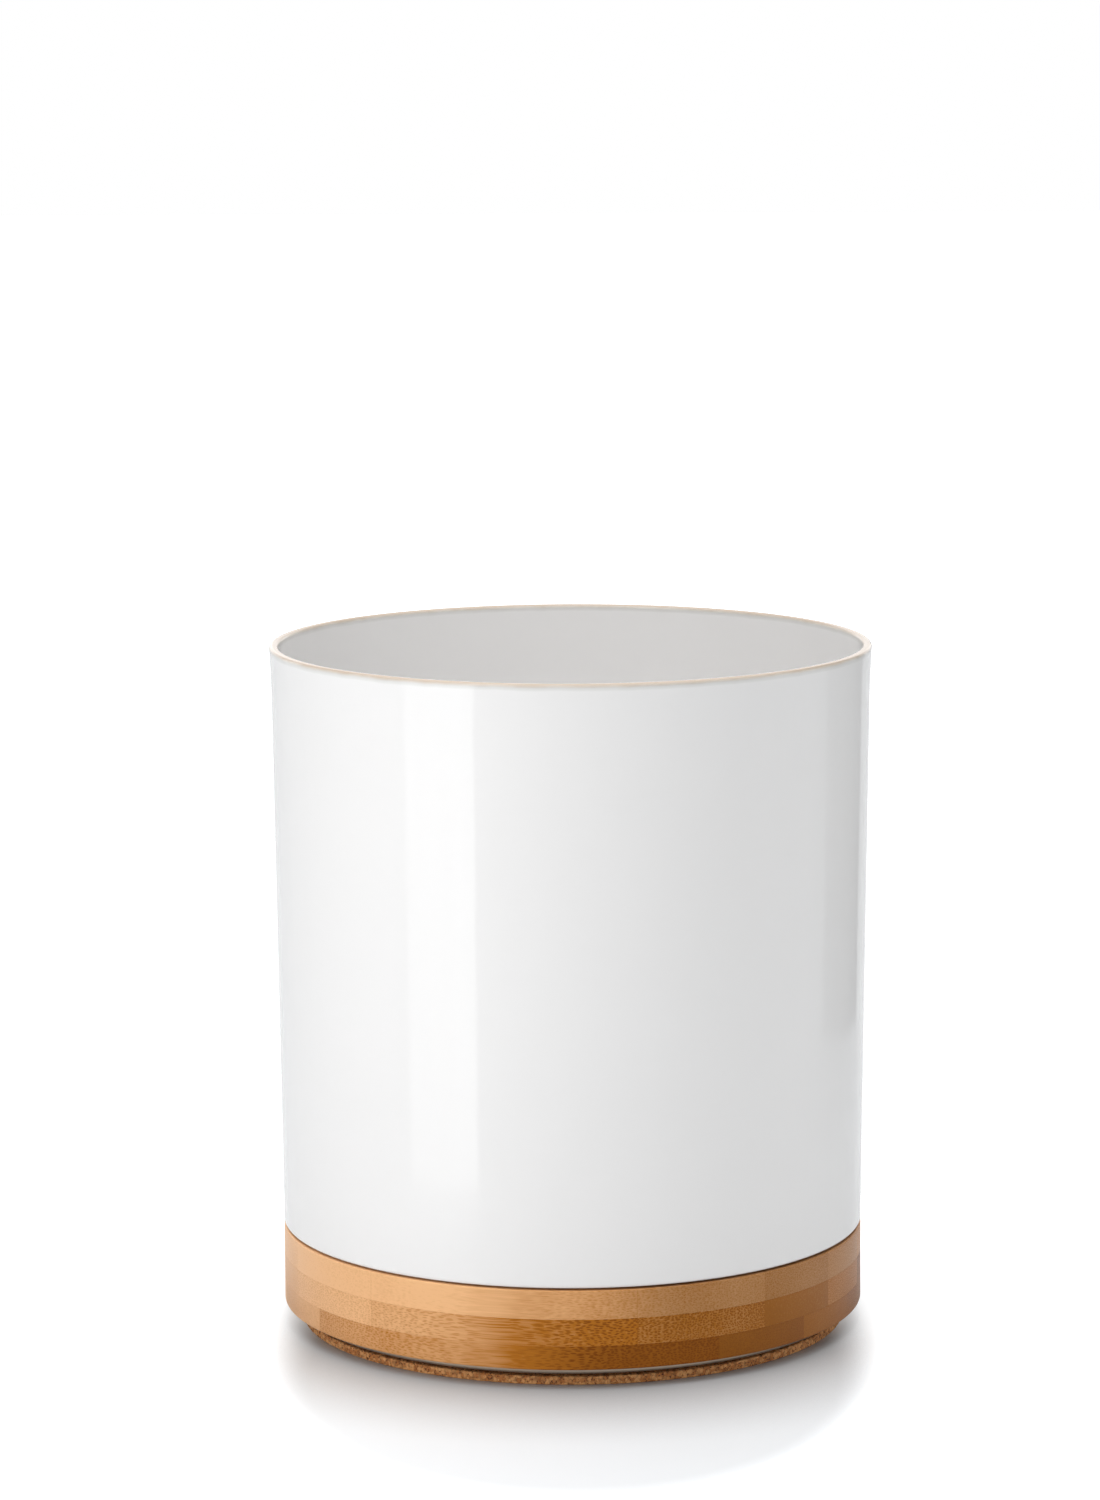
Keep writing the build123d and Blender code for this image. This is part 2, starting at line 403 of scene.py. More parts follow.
@dataclass(frozen=True)
class Bamboo:
    """Lacquered laminated bamboo: glued strips with fibre bundles along the grain, under a painted highlight
    and painted shade.

    A share is how much a mark adds to the tone. A shift is how far a pattern moves from strip
    to strip. Mottle is cycles for each metre and octaves, relief a depth and what shows of it.
    """

    pale: Colour = (0.87, 0.50, 0.25)
    caramel: Colour = (0.42, 0.14, 0.012)
    umber: Colour = (0.17, 0.04, 0.001)
    grain_turn: float = math.radians(15.0)
    strip_width: float = 24.2 * MM
    strip_shift: float = 0.37
    mottle: Pair = (55.0, 3.0)
    mottle_share: float = 0.22
    streak_width: float = 0.5 * MM
    streak_length: float = 22.0 * MM
    streak_shift: float = 5.0
    streak_detail: float = 3.0
    streak_share: float = 0.3
    fibre_pitch: float = 0.54 * MM
    fibre_scatter: float = 0.75
    fibre_size: float = 0.34
    fibre_growth: float = 0.16
    fibre_core: float = 0.4
    fibre_roughness: float = 0.12
    fibre_sink: float = 0.5
    drift: float = 0.8 * MM
    drift_length: float = 16.0 * MM
    drift_scale: float = 130.0
    drift_shift: float = 7.0
    drift_detail: float = 1.5
    glue_width: float = 0.12 * MM
    glue_share: float = 0.07
    # Fibre contrast on the painted highlight side, where the highlight washes the fibres out.
    painted_highlight_contrast: float = 0.35
    flat_cut: float = 26.0 * MM
    flat_contrast: float = 0.45
    # Where along the grain the painted shade darkens the strips.
    painted_shade_reach: Pair = (22.0 * MM, 46.0 * MM)
    roughness: float = 0.32
    relief: Pair = (0.03 * MM, 0.4)
    gloss: float = 0.5
    sheen_tint: Colour = (1.0, 0.55, 0.2)

    def material(self, node: str, span: Span, look: PlyLook) -> Material:
        """Build one ply's bamboo.

        Args:
            node: the ply's node.
            span: the ply's span.
            look: how its strips are laid and toned.

        Returns:
            The finished material.
        """
        board = MaterialBoard(node + "_bamboo")
        inputs = {"Vector": board.place, "Rotation": (0.0, 0.0, self.grain_turn)}
        along, across, up = board.split(board.get("ShaderNodeMapping", inputs))
        strips = board.over(board.minus(across, look.strip_start), self.strip_width)
        shift = board.math("FRACT", board.times(board.math("FLOOR", strips), self.strip_shift))
        here = GrainPlace(along, across, up, shift)
        # The third value is each strip's share of painted shade.
        tone, crowd, fade = self.strip_looks(board, look, strips)
        rise = board.over(board.minus(up, span.low), span.high - span.low)
        dot = self.fibres(board, here, board.times(crowd, rise))
        streak = self.streaks(board, here)
        # Painted light: the tone runs from a painted highlight at one end of the grain to painted shade at
        # the other, and the fibres show less on the highlight side.
        painted_shade_side = board.step(along, *look.painted_shade_span)
        end_grain = board.step(board.math("ABSOLUTE", along), 0.0, self.flat_cut)
        depth = board.times(
            board.between(painted_shade_side, self.painted_highlight_contrast, 1.0),
            board.between(end_grain, self.flat_contrast, 1.0),
        )
        joint = board.times(board.math("PINGPONG", strips, 0.5), self.strip_width)
        marks = (
            (board.minus(board.noise(board.place, *self.mottle), NOISE_MEAN), self.mottle_share),
            (streak, self.streak_share),
            (board.times(board.times(dot, crowd), depth), look.contrast),
            (board.step(joint, self.glue_width, 0.0), self.glue_share),
            (board.between(painted_shade_side, -0.5, 0.5), look.lean),
        )
        for mark, share in marks:
            tone = board.times_plus(mark, share, tone)
        wood = board.ramp(tone, {0.0: self.pale, 0.5: self.caramel, 1.0: self.umber})
        # Painted shade: each strip darkens towards black at one end of the grain, by its own share.
        painted_end_shade = board.times(fade, board.step(along, *self.painted_shade_reach))
        height = board.times_plus(dot, -self.fibre_sink, board.math("ADD", streak, NOISE_MEAN))
        return board.shade(
            Base_Color=board.blend(painted_end_shade, wood, BLACK),
            Roughness=board.times_plus(dot, self.fibre_roughness, self.roughness),
            Normal=board.bump(height, *self.relief),
            Specular_IOR_Level=self.gloss,
            Specular_Tint=opaque(self.sheen_tint),
        )

    def strip_looks(self, board: MaterialBoard, look: PlyLook, strips: Socket) -> list[Socket]:
        """Each strip's own tone, fibre crowding and share of painted shade along the grain.

        Args:
            board: the material's board.
            look: the ply's look.
            strips: the place across the strips, in strips. The first one ends at 0.

        Returns:
            The three values' sockets.
        """
        count = len(look.strips)
        stops = {i / count: strip for i, strip in enumerate(look.strips)}
        place = board.over(board.math("ADD", strips, 1.0), float(count))
        return board.split(board.ramp(place, stops, "CONSTANT"))

    def fibres(self, board: MaterialBoard, here: GrainPlace, crowd: Socket) -> Socket:
        """The fibre bundles: dots on an end grain, and dashes where the cut runs with them.

        Args:
            board: the material's board.
            here: the place in the wood.
            crowd: how close the bundles stand.

        Returns:
            A mask that is 1 in a bundle.
        """
        wave_place = board.vector(
            board.times_plus(here.shift, self.drift_shift, board.over(here.along, self.drift_length)),
            board.times(here.across, self.drift_scale),
            board.times(here.up, self.drift_scale),
        )
        inputs = {"Vector": wave_place, "Scale": 1.0, "Detail": self.drift_detail}
        wave = board.split(board.get("ShaderNodeTexNoise", inputs, "Color"))
        both_ways = self.drift / self.fibre_pitch * 2.0
        column = board.times_plus(here.across, 1 / self.fibre_pitch, here.shift)
        row = board.over(here.up, self.fibre_pitch)
        cells = board.vector(
            board.times_plus(wave[0], both_ways, column),
            board.times_plus(wave[1], both_ways, row),
            0.0,
        )
        inputs = {"Vector": cells, "Scale": 1.0, "Randomness": self.fibre_scatter}
        spot = board.get("ShaderNodeTexVoronoi", inputs, "Distance", voronoi_dimensions="2D")
        edge = board.times_plus(crowd, self.fibre_growth, self.fibre_size)
        return board.step(spot, edge, board.times(edge, self.fibre_core))

    def streaks(self, board: MaterialBoard, here: GrainPlace) -> Socket:
        """Fine long streaks between the bundles.

        Args:
            board: the material's board.
            here: the place in the wood.

        Returns:
            A value about 0, lighter below it.
        """
        place = board.vector(
            board.times_plus(here.shift, self.streak_shift, board.over(here.along, self.streak_length)),
            board.over(here.across, self.streak_width),
            board.over(here.up, self.streak_width),
        )
        return board.minus(board.noise(place, 1.0, self.streak_detail), NOISE_MEAN)


@dataclass(frozen=True)
class Cork:
    """Pressed cork granules of mixed browns, each of smaller chips.

    A share is how far a blend goes, and the pair before it is where the cells' values start
    and end it. Warp is cycles for each metre and octaves, relief a depth and what shows of it.
    """

    tan: Colour = (0.95, 0.49, 0.19)
    brown: Colour = (0.62, 0.24, 0.07)
    bark: Colour = (0.17, 0.055, 0.018)
    granule: float = 0.9 * MM
    chips_across: float = 2.6
    warp: Pair = (900.0, 2.0)
    warp_reach: float = 0.63 * MM
    brown_granules: Pair = (0.15, 0.85)
    brown_chips: Pair = (0.55, 0.9)
    brown_chip_share: float = 0.5
    bark_chips: Pair = (0.82, 0.9)
    bark_granules: Pair = (0.3, 0.6)
    seams: Pair = (0.45, 0.8)
    seam_share: float = 0.4
    pore_share: float = 0.5
    relief: Pair = (0.25 * MM, 0.9)
    roughness: float = 0.88

    def material(self) -> Material:
        """Build the cork.

        Returns:
            The finished material.
        """
        board = MaterialBoard("cork_granules")
        scale, detail = self.warp
        inputs = {"Vector": board.place, "Scale": scale, "Detail": detail}
        warp = board.get("ShaderNodeTexNoise", inputs, "Color")
        bent = board.vector_math("MULTIPLY_ADD", {0: warp, 1: (self.warp_reach,) * 3, 2: board.place})
        granules, chips = (
            board.add("ShaderNodeTexVoronoi", {"Vector": bent, "Scale": across / self.granule}).outputs
            for across in (1.0, self.chips_across)
        )
        pick = board.split(granules["Color"])[0]
        chip = board.split(chips["Color"])[1]
        dark = board.times(board.step(chip, *self.bark_chips), board.step(pick, *self.bark_granules))
        grain = board.blend(board.step(pick, *self.brown_granules), self.tan, self.brown)
        blends = (
            (board.times(board.step(chip, *self.brown_chips), self.brown_chip_share), self.brown),
            (dark, self.bark),
            (board.times(board.step(granules["Distance"], *self.seams), self.seam_share), self.bark),
        )
        for share, colour in blends:
            grain = board.blend(share, grain, colour)
        pores = board.times_plus(chips["Distance"], self.pore_share, granules["Distance"])
        return board.shade(
            Base_Color=grain,
            Roughness=self.roughness,
            Normal=board.bump(board.minus(1.0, pores), *self.relief),
        )


@dataclass(frozen=True)
class TurnedMetal:
    """Metal with the fine rings that turning or pressing leaves.

    Scratches and smudges add their shares to a roughness that starts a dip lower. Smudges are
    cycles for each metre and octaves, relief a depth and what shows of it.
    """

    name: str
    colour: Colour
    roughness: float
    roughness_dip: float = 0.09
    ring_pitch: float = 0.25 * MM
    scratch_share: float = 0.12
    smudges: Pair = (110.0, 3.0)
    smudge_share: float = 0.08
    smudge_shade: float = 0.88
    relief: Pair = (0.01 * MM, 0.3)

    def material(self) -> Material:
        """Build the metal.

        Returns:
            The finished material.
        """
        board = MaterialBoard(self.name)
        scratch = board.noise(board.vector(board.over(board.radius(), self.ring_pitch), 0.0, 0.0), 1.0)
        smudge = board.noise(board.place, *self.smudges)
        rough = board.times_plus(scratch, self.scratch_share, self.roughness - self.roughness_dip)
        return board.shade(
            Base_Color=board.blend(smudge, self.colour, dimmed(self.colour, self.smudge_shade)),
            Roughness=board.times_plus(smudge, self.smudge_share, rough),
            Normal=board.bump(scratch, *self.relief),
            Metallic=1.0,
        )


@dataclass(frozen=True)
class Nylon:
    """Natural moulded nylon with a faint mottle, and grit in its skin."""

    colour: Colour = (0.80, 0.78, 0.70)
    mottle: Pair = (220.0, 3.0)
    mottle_shade: float = 0.9
    mottle_share: float = 0.15
    roughness: float = 0.45
    grit_scale: float = 2400.0
    relief: Pair = (0.02 * MM, 0.3)

    def material(self) -> Material:
        """Build the nylon.

        Returns:
            The finished material.
        """
        board = MaterialBoard("natural_nylon")
        mottle = board.noise(board.place, *self.mottle)
        return board.shade(
            Base_Color=board.blend(mottle, self.colour, dimmed(self.colour, self.mottle_shade)),
            Roughness=board.times_plus(mottle, self.mottle_share, self.roughness),
            Normal=board.bump(board.noise(board.place, self.grit_scale), *self.relief),
        )


@dataclass(frozen=True)
class Corner:
    """One corner of an outline that is turned about the upright axis.

    Rows are how many steps the straight run after the corner is cut into.
    """

    radius: float
    height: float
    fillet: float = 0.0
    rows: int = 1

    @property
    def point(self) -> Vector:
        """The corner in the outline's plane."""
        return Vector((self.radius, self.height))


@dataclass
class Outline:
    """Corners in order, with the solid on the left of the way along them."""

    corners: list[Corner]
    closed: bool = False
    arc_steps: int = 8
    hold_share: float = 0.3

    def points(self) -> list[Vector]:
        """The outline's points, with round corners and rows.

        Returns:
            The points in order. A closed outline ends on its first point.
        """
        runs = [self.corner_points(i) for i in range(len(self.corners))]
        if self.closed:
            runs.append(runs[0][:1])
        found: list[Vector] = []
        for i, run in enumerate(runs):
            if found:
                last, rows = found[-1], self.corners[i - 1].rows
                found += [last.lerp(run[0], k / rows) for k in range(1, rows)]
            found += run
        return found

    def corner_points(self, i: int) -> list[Vector]:
        """The points of one corner: itself, or its arc with a holding point at each end.

        Args:
            i: the corner's number.

        Returns:
            The corner's points in order.
        """
        corner = self.corners[i]
        here = corner.point
        ends = not self.closed and i in (0, len(self.corners) - 1)
        if corner.fillet == 0 or ends:
            return [here]
        back = (self.corners[i - 1].point - here).normalized()
        ahead = (self.corners[(i + 1) % len(self.corners)].point - here).normalized()
        half = back.angle(ahead) / 2
        reach = corner.fillet / math.tan(half)
        centre = here + (back + ahead).normalized() * (corner.fillet / math.sin(half))
        arm = here + back * reach - centre
        sweep = -arm.angle_signed(here + ahead * reach - centre)
        arc = [centre + turned(arm, sweep * k / self.arc_steps) for k in range(self.arc_steps + 1)]
        hold = reach * self.hold_share
        return [arc[0] + back * hold, *arc, arc[-1] + ahead * hold]

    def mesh(self) -> bpy.types.Mesh:
        """The outline as a mesh of edges in the XZ plane.

        Returns:
            The new mesh.
        """
        points = self.points()
        mesh = bpy.data.meshes.new("outline")
        edges = [(i, i + 1) for i in range(len(points) - 1)]
        mesh.from_pydata([(p.x, 0.0, p.y) for p in points], edges, [])
        return mesh


def turned(arm: Vector, angle: float) -> Vector:
    """A flat vector turned anticlockwise by an angle in radians."""
    c, s = math.cos(angle), math.sin(angle)
    return Vector((arm.x * c - arm.y * s, arm.x * s + arm.y * c))


class Input(Enum):
    """The kinds of input that a geometry tree has."""

    GEOMETRY = "NodeSocketGeometry"
    COUNT = "NodeSocketInt"
    SIZE = "NodeSocketFloat"
    MATERIAL = "NodeSocketMaterial"


class GeometryBoard(NodeBoard):
    """A geometry node tree with named inputs, and a way to bake its result."""

    sharp_angle = math.radians(38.0)

    def __init__(self, name: str, counts: tuple[str, ...], sizes: tuple[str, ...]) -> None:
        """Start a tree.

        Args:
            name: the tree's name.
            counts: the names of its whole-number inputs.
            sizes: the names of its other number inputs.
        """
        super().__init__(bpy.data.node_groups.new(name, "GeometryNodeTree"))
        inputs = {"Geometry": Input.GEOMETRY, "Material": Input.MATERIAL}
        inputs |= dict.fromkeys(counts, Input.COUNT) | dict.fromkeys(sizes, Input.SIZE)
        face = self.tree.interface
        face.new_socket("Result", in_out="OUTPUT", socket_type=Input.GEOMETRY.value)
        for key, kind in inputs.items():
            face.new_socket(key, in_out="INPUT", socket_type=kind.value)
        self.given = self.add("NodeGroupInput").outputs

    def circle(self) -> Socket:
        """The circle of points that copies stand on."""
        inputs = {"Vertices": self.given["Count"], "Radius": self.given["Circle Radius"]}
        return self.get("GeometryNodeMeshCircle", inputs)

    def copies(self, points: Socket, shape: Socket, **inputs: object) -> Socket:
        """Copies of a shape on points, with the Rotation or Scale that is given."""
        return self.get("GeometryNodeInstanceOnPoints", {"Points": points, "Instance": shape, **inputs})

    def realize(self, copies: Socket) -> Socket:
        """The copies as one mesh."""
        return self.get("GeometryNodeRealizeInstances", {0: copies})

    def move(self, geometry: Socket, **where: Socket) -> Socket:
        """The geometry with its points moved by an Offset or to a Position."""
        return self.get("GeometryNodeSetPosition", {"Geometry": geometry, **where})

    def lift(self, shape: Socket, height: Socket) -> Socket:
        """The shape moved up as a whole."""
        inputs = {"Geometry": shape, "Translation": self.vector(0.0, 0.0, height)}
        return self.get("GeometryNodeTransform", inputs)

    def cut(self, mesh: Socket, cutter: Socket) -> Socket:
        """The mesh less the cutter."""
        inputs = {"Mesh 1": mesh, "Mesh 2": cutter}
        return self.get("GeometryNodeMeshBoolean", inputs, operation="DIFFERENCE", solver="MANIFOLD")

    def random(self, low: object, high: object) -> Socket:
        """A number for each copy, drawn from the tree's seed."""
        return self.get("FunctionNodeRandomValue", {2: low, 3: high, "Seed": self.given["Seed"]}, 1)

    def finish(self, geometry: Socket) -> None:
        """Shade the result, realize it, give it its material and end the tree.

        Args:
            geometry: the result.
        """
        smooth = self.get("GeometryNodeSetShadeSmooth", {0: geometry, 2: True}, domain="FACE")
        bend = self.get("GeometryNodeInputMeshEdgeAngle", output="Unsigned Angle")
        soft = self.get("FunctionNodeCompare", {0: bend, 1: self.sharp_angle}, operation="LESS_THAN")
        edged = self.get("GeometryNodeSetShadeSmooth", {0: smooth, 2: soft}, domain="EDGE")
        inputs = {"Geometry": self.realize(edged), "Material": self.given["Material"]}
        made = self.get("GeometryNodeSetMaterial", inputs)
        self.tree.links.new(made, self.add("NodeGroupOutput").inputs[0])

    def bake(self, name: str, source: bpy.types.Mesh, **values: object) -> Piece:
        """Run the tree on a mesh and keep the result as a plain mesh.

        Args:
            name: the new piece's name.
            source: the mesh that goes in.
            values: the inputs by name, with underscores for spaces.

        Returns:
            The new piece, with no modifier.
        """
        piece = put(name, source)
        modifier = piece.modifiers.new(self.tree.name, "NODES")
        modifier.node_group = self.tree
        for item in self.tree.interface.items_tree:
            key = item.name.replace(" ", "_")
            if item.in_out == "INPUT" and key in values:
                modifier[item.identifier] = values[key]
        graph = bpy.context.evaluated_depsgraph_get()
        mesh = bpy.data.meshes.new_from_object(piece.evaluated_get(graph), depsgraph=graph)
        piece.modifiers.remove(modifier)
        if mesh.materials[0] is None:
            mesh.materials.pop(index=0)
        piece.data = mesh
        mesh.name = name
        return piece


class Revolving(GeometryBoard):
    """A tree that starts by wrapping an outline round the upright axis."""

    merge_distance = 0.001 * MM

    def revolve(self) -> tuple[Socket, Socket]:
        """Wrap a grid round the axis so that its columns follow the outline.

        Returns:
            The open mesh and the place of its points.
        """
        outline, segments = self.given["Geometry"], self.given["Segments"]
        count = self.get("GeometryNodeAttributeDomainSize", {0: outline}, "Point Count")
        columns = self.math("ADD", segments, 1.0)
        grid = self.get("GeometryNodeMeshGrid", {"Vertices X": count, "Vertices Y": columns})
        index = self.get("GeometryNodeInputIndex")
        row = self.math("FLOOR", self.over(self.math("ADD", index, 0.5), columns))
        column = self.minus(index, self.times(row, columns))
        here = self.get("GeometryNodeInputPosition")
        inputs = {"Geometry": outline, "Value": here, "Index": row}
        radius, _, height = self.split(self.get("GeometryNodeSampleIndex", inputs, data_type="FLOAT_VECTOR"))
        angle = self.over(self.times(column, math.tau), segments)
        place = self.vector(
            self.times(radius, self.math("COSINE", angle)),
            self.times(radius, self.math("SINE", angle)),
            height,
        )
        return self.move(grid, Position=place), self.get("GeometryNodeInputPosition")

    def close(self, geometry: Socket) -> Socket:
        """The wrapped grid with its seam and poles joined and its faces turned outwards."""
        inputs = {"Geometry": geometry, "Distance": self.merge_distance}
        return self.get("GeometryNodeFlipFaces", {0: self.get("GeometryNodeMergeByDistance", inputs)})


class Turning(Revolving):
    """The tree that turns an outline into a solid, with a faint inward ripple."""

    ripple_detail = 3.0

    def __init__(self) -> None:
        """Build the tree."""
        super().__init__("turned_outline", ("Segments", "Seed"), ("Ripple Share", "Ripple Scale"))
        given = self.given
        blank, place = self.revolve()
        inputs = {
            "Vector": place,
            "W": given["Seed"],
            "Scale": given["Ripple Scale"],
            "Detail": self.ripple_detail,
        }
        noise = self.get("ShaderNodeTexNoise", inputs, "Fac", noise_dimensions="4D")
        inward = self.times(noise, self.times(given["Ripple Share"], -1.0))
        offset = self.vector_math("MULTIPLY", {0: place, 1: self.vector(inward, inward, 0.0)})
        self.finish(self.close(self.move(blank, Offset=offset)))


class Drilling(GeometryBoard):
    """The tree that cuts a ring of holes, each with its own low and high radius."""

    hole_sides = 32

    def __init__(self) -> None:
        """Build the tree."""
        sizes = ("Circle Radius", "Low", "Low Radius", "High", "High Radius")
        super().__init__("ring_of_holes", ("Count",), sizes)
        given = self.given
        inputs = {
            "Vertices": self.hole_sides,
            "Radius Top": given["High Radius"],
            "Radius Bottom": given["Low Radius"],
            "Depth": self.minus(given["High"], given["Low"]),
        }
        drill = self.lift(self.get("GeometryNodeMeshCone", inputs), given["Low"])
        drills = self.realize(self.copies(self.circle(), drill))
        self.finish(self.cut(given["Geometry"], drills))


class BallRing(GeometryBoard):
    """The tree that sets balls round a circle."""

    ball_detail = 4

    def __init__(self) -> None:
        """Build the tree."""
        super().__init__("ball_ring", ("Count",), ("Circle Radius", "Ball Radius", "Height"))
        inputs = {"Radius": self.given["Ball Radius"], "Subdivisions": self.ball_detail}
        ball = self.get("GeometryNodeMeshIcoSphere", inputs)
        raised = self.move(self.circle(), Offset=self.vector(0.0, 0.0, self.given["Height"]))
        self.finish(self.copies(raised, ball))


class ScrewRing(Revolving):
    """The tree that threads and slots a turned screw and sets copies round a circle."""

    def __init__(self) -> None:
        """Build the tree."""
        thread = ("Thread Start", "Thread Pitch", "Thread Depth")
        slot = ("Slot Base", "Slot Length", "Slot Width", "Slot Depth")
        super().__init__("screw_ring", ("Segments", "Count", "Seed"), ("Circle Radius", *thread, *slot))
        screw = self.cut(self.threaded(), self.cross())
        spin = self.vector(0.0, 0.0, self.random(0.0, math.tau))
        self.finish(self.copies(self.circle(), screw, Rotation=spin))

    def threaded(self) -> Socket:
        """The turned screw with its thread, whose valleys fade in over one pitch.

        Returns:
            The threaded screw.
        """
        blank, place = self.revolve()
        start, pitch, depth = (self.given["Thread " + word] for word in ("Start", "Pitch", "Depth"))
        x, y, z = self.split(place)
        turn = self.over(self.math("ARCTAN2", y, x), math.tau)
        half_valley = self.math("PINGPONG", self.minus(self.over(z, pitch), turn), 0.5)
        fade = self.step(z, start, self.math("ADD", start, pitch))
        inward = self.times(self.times(self.times(half_valley, fade), depth), -2.0)
        radius = self.vector_math("NORMALIZE", {0: self.vector(x, y, 0.0)})
        offset = self.vector_math("SCALE", {0: radius, "Scale": inward})
        return self.close(self.move(blank, Offset=offset))

    def cross(self) -> Socket:
        """The cutter of the cross slot: two bars that are half above the head's face.

        Returns:
            The cutter.
        """
        words = ("Base", "Length", "Width", "Depth")
        base, length, width, depth = (self.given["Slot " + word] for word in words)
        height = self.times(depth, 2.0)
        union = self.add("GeometryNodeMeshBoolean", operation="UNION", solver="MANIFOLD")
        for size in ((length, width, height), (width, length, height)):
            bar = self.get("GeometryNodeMeshCube", {"Size": self.vector(*size)})
            self.tree.links.new(bar, union.inputs["Mesh 2"])
        return self.lift(union.outputs[0], base)


class Crumbling(GeometryBoard):
    """The tree that breaks crumbs out of a cut edge."""

    crumb_detail = 2
    dents_to_a_crumb = 0.6

    def __init__(self) -> None:
        """Build the tree."""
        sizes = ("Edge Radius", "Low", "High", "Density", "Smallest", "Largest")
        super().__init__("crumbs", ("Seed",), sizes)
        given, largest = self.given, self.given["Largest"]
        place = self.get("GeometryNodeInputPosition")
        inputs = {
            "Mesh": given["Geometry"],
            "Selection": self.edge(place),
            "Density": given["Density"],
            "Seed": given["Seed"],
        }
        points = self.get("GeometryNodeDistributePointsOnFaces", inputs)
        crumb = self.get("GeometryNodeMeshIcoSphere", {"Radius": 1.0, "Subdivisions": self.crumb_detail})
        size = self.random(given["Smallest"], largest)
        inputs = {0: (0.0,) * 3, 1: (math.tau,) * 3, "Seed": given["Seed"]}
        spin = self.get("FunctionNodeRandomValue", inputs, data_type="FLOAT_VECTOR")
        crumbs = self.copies(points, crumb, Rotation=spin, Scale=self.vector(size, size, size))
        inputs = {"Vector": place, "Scale": self.over(self.dents_to_a_crumb, largest)}
        dent = self.get("ShaderNodeTexNoise", inputs, "Color")
        dent = self.vector_math("SUBTRACT", {0: dent, 1: (NOISE_MEAN,) * 3})
        dent = self.vector_math("SCALE", {0: dent, "Scale": largest})
        joined = self.add("GeometryNodeJoinGeometry", {0: given["Geometry"]})
        self.tree.links.new(self.move(self.realize(crumbs), Offset=dent), joined.inputs[0])
        self.finish(joined.outputs[0])

    def edge(self, place: Socket) -> Socket:
        """Where the cut edge is.

        Args:
            place: the place of the mesh's points.

        Returns:
            A mask that is 1 beyond the edge's radius, above low and below high.
        """
        x, y, z = self.split(place)
        out = self.vector_math("LENGTH", {0: self.vector(x, y, 0.0)}, "Value")
        beyond = self.math("GREATER_THAN", out, self.given["Edge Radius"])
        above = self.math("GREATER_THAN", z, self.given["Low"])
        below = self.math("LESS_THAN", z, self.given["High"])
        return self.times(beyond, self.times(above, below))


class Workshop:
    """The trees that turn outlines and drill rings of holes, each built once."""

    def __init__(self) -> None:
        """Build the two trees."""
        self.turning = Turning()
        self.drilling = Drilling()

    def turn(self, name: str, outline: Outline, segments: int, material: Material, **ripple: float) -> Piece:
        """Turn an outline into a piece, with the ripple's inputs where it has one."""
        return self.turning.bake(name, outline.mesh(), Segments=segments, Material=material, **ripple)

    def drill(self, piece: Piece, **sizes: float) -> Piece:
        """Cut a ring of holes.

        Args:
            piece: what is cut.
            sizes: the drilling tree's inputs.

        Returns:
            The drilled piece, with the old piece's name and finish.
        """
        name, mesh = piece.name, piece.data
        bpy.data.objects.remove(piece)
        return self.drilling.bake(name, mesh, Material=mesh.materials[0], **sizes)


@dataclass
class Assembly:
    """A sub-assembly, and the workshop that makes its pieces."""

    shop: Workshop


@dataclass
class Crock(Assembly):
    """The glazed crock: foot ring, spigot, shoulder, flared wall and inside."""

    glaze: Glaze = Glaze()
    segments: int = 288
    wall_rows: int = 40
    floor_rows: int = 8
    flare_rows: int = 3
    shoulder_gap: float = 0.5 * MM
    wall: float = 4.2 * MM
    lip: float = 2.5 * MM
    lip_round_share: float = 0.38
    floor: float = 6.5 * MM
    inner_corner: float = 9.0 * MM
    shoulder_round: float = 0.85 * MM
    root_round: float = 0.6 * MM
    flare: float = 0.5 * MM
    flare_height: float = 10.0 * MM
    flare_round: float = 220.0 * MM
    spigot_inset: float = 6.8 * MM
    ring_width: float = 7.0 * MM
    ring_recess: float = 1.2 * MM
    ring_round: float = 0.5 * MM
    ripple: float = 0.05 * MM
    ripple_scale: float = 26.0
    seed: int = 4

    def outline(self, body: Span, base: Span) -> Outline:
        """The crock's section from its underside out, up, over the lip and down inside.

        Args:
            body: the crock's own span.
            base: the span of the ply that it seats in.

        Returns:
            The outline.
        """
        spigot = base.radius - self.spigot_inset
        hollow = body.low + self.ring_recess
        shoulder = base.high + self.shoulder_gap
        lip_round = self.lip * self.lip_round_share
        floor = hollow + self.floor
        wall_top, flare_low = body.radius - self.flare, body.high - self.flare_height
        return Outline(
            [
                Corner(0.0, hollow, rows=self.floor_rows),
                Corner(spigot - self.ring_width, hollow, self.ring_round),
                Corner(spigot - self.ring_width, body.low, self.ring_round),
                Corner(spigot, body.low, self.ring_round, self.floor_rows),
                Corner(spigot, shoulder, self.root_round),
                Corner(base.radius, shoulder, self.shoulder_round, self.wall_rows),
                Corner(wall_top, flare_low, self.flare_round, self.flare_rows),
                Corner(body.radius, body.high, lip_round),
                Corner(body.radius - self.lip, body.high, lip_round, self.wall_rows),
                Corner(base.radius - self.wall, floor, self.inner_corner, self.floor_rows),
                Corner(0.0, floor),
            ]
        )

    def build(self) -> None:
        """Turn the crock and glaze it."""
        body, base = Span.of("crock"), Span.of("bamboo_ply_top")
        piece = self.shop.turn(
            "glazed_crock",
            self.outline(body, base),
            self.segments,
            self.glaze.material(body.high, body.low),
            Ripple_Share=self.ripple / body.radius,
            Ripple_Scale=self.ripple_scale,
            Seed=self.seed,
        )
        settle(piece, Body.CROCK, "crock")


